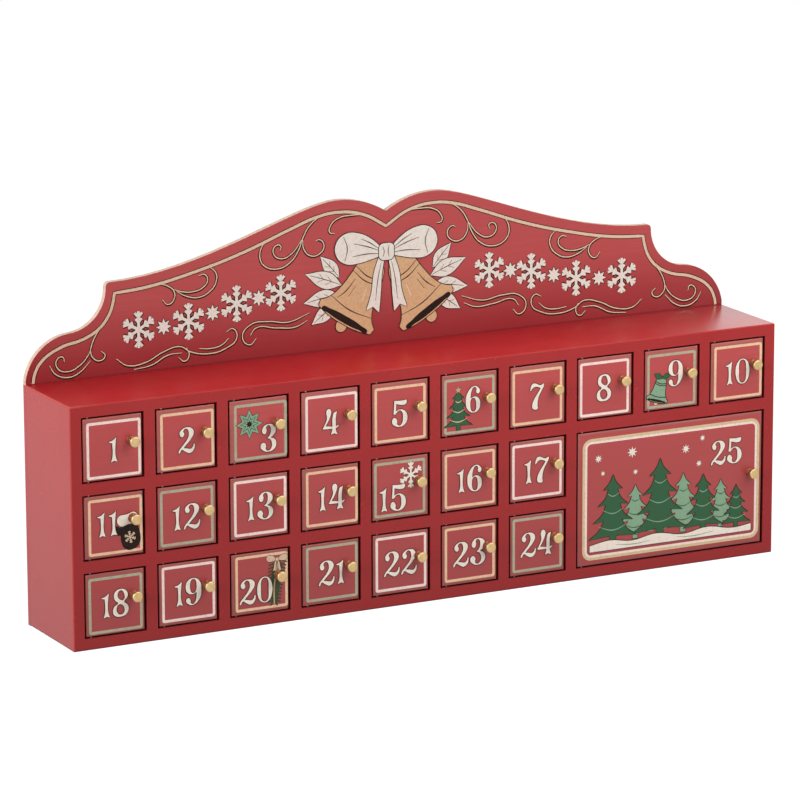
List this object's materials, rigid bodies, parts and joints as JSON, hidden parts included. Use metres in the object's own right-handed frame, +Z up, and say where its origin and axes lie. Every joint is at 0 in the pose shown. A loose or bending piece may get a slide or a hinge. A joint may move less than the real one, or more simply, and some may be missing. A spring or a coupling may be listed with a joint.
{
  "type": "advent calendar",
  "caption": "Free-standing wooden advent calendar: a painted box of small pin-hinged doors with round knobs, in front of a back board that rises as a shaped header.",
  "frame": {"origin": "centre of the footprint, on the surface that the box stands on", "axes": "+X along the box to the viewer's right, the doors face -Y, +Z up"},
  "size_m": [0.599, 0.0927, 0.3],
  "materials": {
    "box_paint": "satin red paint on fibreboard",
    "header_paint": "printed red face with a bare cream edge",
    "door_paint": "printed red face, satin",
    "knob_brass": "polished",
    "pin_steel": "bare wire"
  },
  "bodies": {
    "carcass": {"top_panel": "box_paint", "bottom_panel": "box_paint", "left_side": "box_paint", "right_side": "box_paint", "upper_shelf": "box_paint", "lower_shelf": "box_paint", "dividers": "box_paint", "back_board": "header_paint", "hinge_pins": "pin_steel", "door_stops": "box_paint"},
    "leaf_01": {"door_01": "door_paint", "knob_01": "knob_brass"},
    "leaf_02": {"door_02": "door_paint", "knob_02": "knob_brass"},
    "leaf_03": {"door_03": "door_paint", "knob_03": "knob_brass"},
    "leaf_04": {"door_04": "door_paint", "knob_04": "knob_brass"},
    "leaf_05": {"door_05": "door_paint", "knob_05": "knob_brass"},
    "leaf_06": {"door_06": "door_paint", "knob_06": "knob_brass"},
    "leaf_07": {"door_07": "door_paint", "knob_07": "knob_brass"},
    "leaf_08": {"door_08": "door_paint", "knob_08": "knob_brass"},
    "leaf_09": {"door_09": "door_paint", "knob_09": "knob_brass"},
    "leaf_10": {"door_10": "door_paint", "knob_10": "knob_brass"},
    "leaf_11": {"door_11": "door_paint", "knob_11": "knob_brass"},
    "leaf_12": {"door_12": "door_paint", "knob_12": "knob_brass"},
    "leaf_13": {"door_13": "door_paint", "knob_13": "knob_brass"},
    "leaf_14": {"door_14": "door_paint", "knob_14": "knob_brass"},
    "leaf_15": {"door_15": "door_paint", "knob_15": "knob_brass"},
    "leaf_16": {"door_16": "door_paint", "knob_16": "knob_brass"},
    "leaf_17": {"door_17": "door_paint", "knob_17": "knob_brass"},
    "leaf_18": {"door_18": "door_paint", "knob_18": "knob_brass"},
    "leaf_19": {"door_19": "door_paint", "knob_19": "knob_brass"},
    "leaf_20": {"door_20": "door_paint", "knob_20": "knob_brass"},
    "leaf_21": {"door_21": "door_paint", "knob_21": "knob_brass"},
    "leaf_22": {"door_22": "door_paint", "knob_22": "knob_brass"},
    "leaf_23": {"door_23": "door_paint", "knob_23": "knob_brass"},
    "leaf_24": {"door_24": "door_paint", "knob_24": "knob_brass"},
    "leaf_25": {"door_25": "door_paint", "knob_25": "knob_brass"}
  },
  "joints": [
    {"name": "door_01_hinge", "type": "hinge", "parent": "carcass", "child": "leaf_01", "pos_m": [-0.2842, -0.0392, 0.15075], "axis": [0, 0, -1], "range_deg": [0, 120]},
    {"name": "door_02_hinge", "type": "hinge", "parent": "carcass", "child": "leaf_02", "pos_m": [-0.2252, -0.0392, 0.15075], "axis": [0, 0, -1], "range_deg": [0, 120]},
    {"name": "door_03_hinge", "type": "hinge", "parent": "carcass", "child": "leaf_03", "pos_m": [-0.1662, -0.0392, 0.15075], "axis": [0, 0, -1], "range_deg": [0, 120]},
    {"name": "door_04_hinge", "type": "hinge", "parent": "carcass", "child": "leaf_04", "pos_m": [-0.1072, -0.0392, 0.15075], "axis": [0, 0, -1], "range_deg": [0, 120]},
    {"name": "door_05_hinge", "type": "hinge", "parent": "carcass", "child": "leaf_05", "pos_m": [-0.0482, -0.0392, 0.15075], "axis": [0, 0, -1], "range_deg": [0, 120]},
    {"name": "door_06_hinge", "type": "hinge", "parent": "carcass", "child": "leaf_06", "pos_m": [0.0108, -0.0392, 0.15075], "axis": [0, 0, -1], "range_deg": [0, 120]},
    {"name": "door_07_hinge", "type": "hinge", "parent": "carcass", "child": "leaf_07", "pos_m": [0.0698, -0.0392, 0.15075], "axis": [0, 0, -1], "range_deg": [0, 120]},
    {"name": "door_08_hinge", "type": "hinge", "parent": "carcass", "child": "leaf_08", "pos_m": [0.1288, -0.0392, 0.15075], "axis": [0, 0, -1], "range_deg": [0, 120]},
    {"name": "door_09_hinge", "type": "hinge", "parent": "carcass", "child": "leaf_09", "pos_m": [0.1878, -0.0392, 0.15075], "axis": [0, 0, -1], "range_deg": [0, 120]},
    {"name": "door_10_hinge", "type": "hinge", "parent": "carcass", "child": "leaf_10", "pos_m": [0.2468, -0.0392, 0.15075], "axis": [0, 0, -1], "range_deg": [0, 120]},
    {"name": "door_11_hinge", "type": "hinge", "parent": "carcass", "child": "leaf_11", "pos_m": [-0.2842, -0.0392, 0.09225], "axis": [0, 0, -1], "range_deg": [0, 120]},
    {"name": "door_12_hinge", "type": "hinge", "parent": "carcass", "child": "leaf_12", "pos_m": [-0.2252, -0.0392, 0.09225], "axis": [0, 0, -1], "range_deg": [0, 120]},
    {"name": "door_13_hinge", "type": "hinge", "parent": "carcass", "child": "leaf_13", "pos_m": [-0.1662, -0.0392, 0.09225], "axis": [0, 0, -1], "range_deg": [0, 120]},
    {"name": "door_14_hinge", "type": "hinge", "parent": "carcass", "child": "leaf_14", "pos_m": [-0.1072, -0.0392, 0.09225], "axis": [0, 0, -1], "range_deg": [0, 120]},
    {"name": "door_15_hinge", "type": "hinge", "parent": "carcass", "child": "leaf_15", "pos_m": [-0.0482, -0.0392, 0.09225], "axis": [0, 0, -1], "range_deg": [0, 120]},
    {"name": "door_16_hinge", "type": "hinge", "parent": "carcass", "child": "leaf_16", "pos_m": [0.0108, -0.0392, 0.09225], "axis": [0, 0, -1], "range_deg": [0, 120]},
    {"name": "door_17_hinge", "type": "hinge", "parent": "carcass", "child": "leaf_17", "pos_m": [0.0698, -0.0392, 0.09225], "axis": [0, 0, -1], "range_deg": [0, 120]},
    {"name": "door_18_hinge", "type": "hinge", "parent": "carcass", "child": "leaf_18", "pos_m": [-0.2842, -0.0392, 0.03375], "axis": [0, 0, -1], "range_deg": [0, 120]},
    {"name": "door_19_hinge", "type": "hinge", "parent": "carcass", "child": "leaf_19", "pos_m": [-0.2252, -0.0392, 0.03375], "axis": [0, 0, -1], "range_deg": [0, 120]},
    {"name": "door_20_hinge", "type": "hinge", "parent": "carcass", "child": "leaf_20", "pos_m": [-0.1662, -0.0392, 0.03375], "axis": [0, 0, -1], "range_deg": [0, 120]},
    {"name": "door_21_hinge", "type": "hinge", "parent": "carcass", "child": "leaf_21", "pos_m": [-0.1072, -0.0392, 0.03375], "axis": [0, 0, -1], "range_deg": [0, 120]},
    {"name": "door_22_hinge", "type": "hinge", "parent": "carcass", "child": "leaf_22", "pos_m": [-0.0482, -0.0392, 0.03375], "axis": [0, 0, -1], "range_deg": [0, 120]},
    {"name": "door_23_hinge", "type": "hinge", "parent": "carcass", "child": "leaf_23", "pos_m": [0.0108, -0.0392, 0.03375], "axis": [0, 0, -1], "range_deg": [0, 120]},
    {"name": "door_24_hinge", "type": "hinge", "parent": "carcass", "child": "leaf_24", "pos_m": [0.0698, -0.0392, 0.03375], "axis": [0, 0, -1], "range_deg": [0, 120]},
    {"name": "door_25_hinge", "type": "hinge", "parent": "carcass", "child": "leaf_25", "pos_m": [0.1288, -0.0392, 0.063], "axis": [0, 0, -1], "range_deg": [0, 120]}
  ]
}
